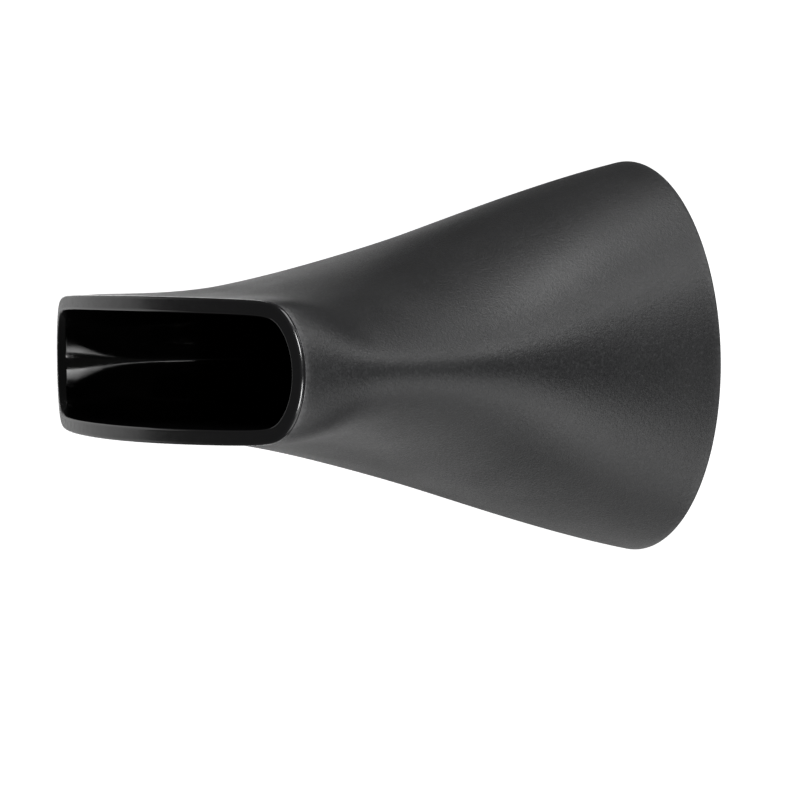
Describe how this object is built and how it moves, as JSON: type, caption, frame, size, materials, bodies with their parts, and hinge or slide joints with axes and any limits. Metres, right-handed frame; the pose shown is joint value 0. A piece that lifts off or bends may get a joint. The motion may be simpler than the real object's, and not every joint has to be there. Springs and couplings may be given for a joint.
{
  "type": "styling nozzle of a hair dryer",
  "caption": "Fishtail air concentrator for a hair dryer: a round push-on end narrows into a wide flat slot, with a matte cool-touch shell over a gloss duct that turns on its seat.",
  "frame": {"origin": "centre of the round rim, on the plane that the rim rests on", "axes": "+Z along the air's path from the rim to the slot, X along the slot's width, Y across its thickness"},
  "size_m": [0.0842, 0.054, 0.0753],
  "materials": {
    "matte_shell": "fine matte texture",
    "gloss_duct": "polished black",
    "matte_ring": "satin",
    "seat_plastic": "satin, glass filled",
    "washer_plastic": "waxy",
    "silicone": "silicone",
    "screw_steel": "zinc plated",
    "spring_steel": "rolled strip"
  },
  "bodies": {
    "seat": {"seat_sleeve": "seat_plastic", "seal_ring": "silicone", "grip_spring_1": "spring_steel", "grip_spring_2": "spring_steel", "grip_spring_3": "spring_steel"},
    "head": {"outer_shell": "matte_shell", "inner_duct": "gloss_duct", "rim_ring": "matte_ring", "slip_washer": "washer_plastic", "standoff_pads": "silicone", "rim_screws": "screw_steel"}
  },
  "joints": [
    {"name": "head_turn", "type": "hinge", "parent": "seat", "child": "head", "pos_m": [0, 0, 0.0052], "axis": [0, 0, 1], "continuous": true}
  ]
}
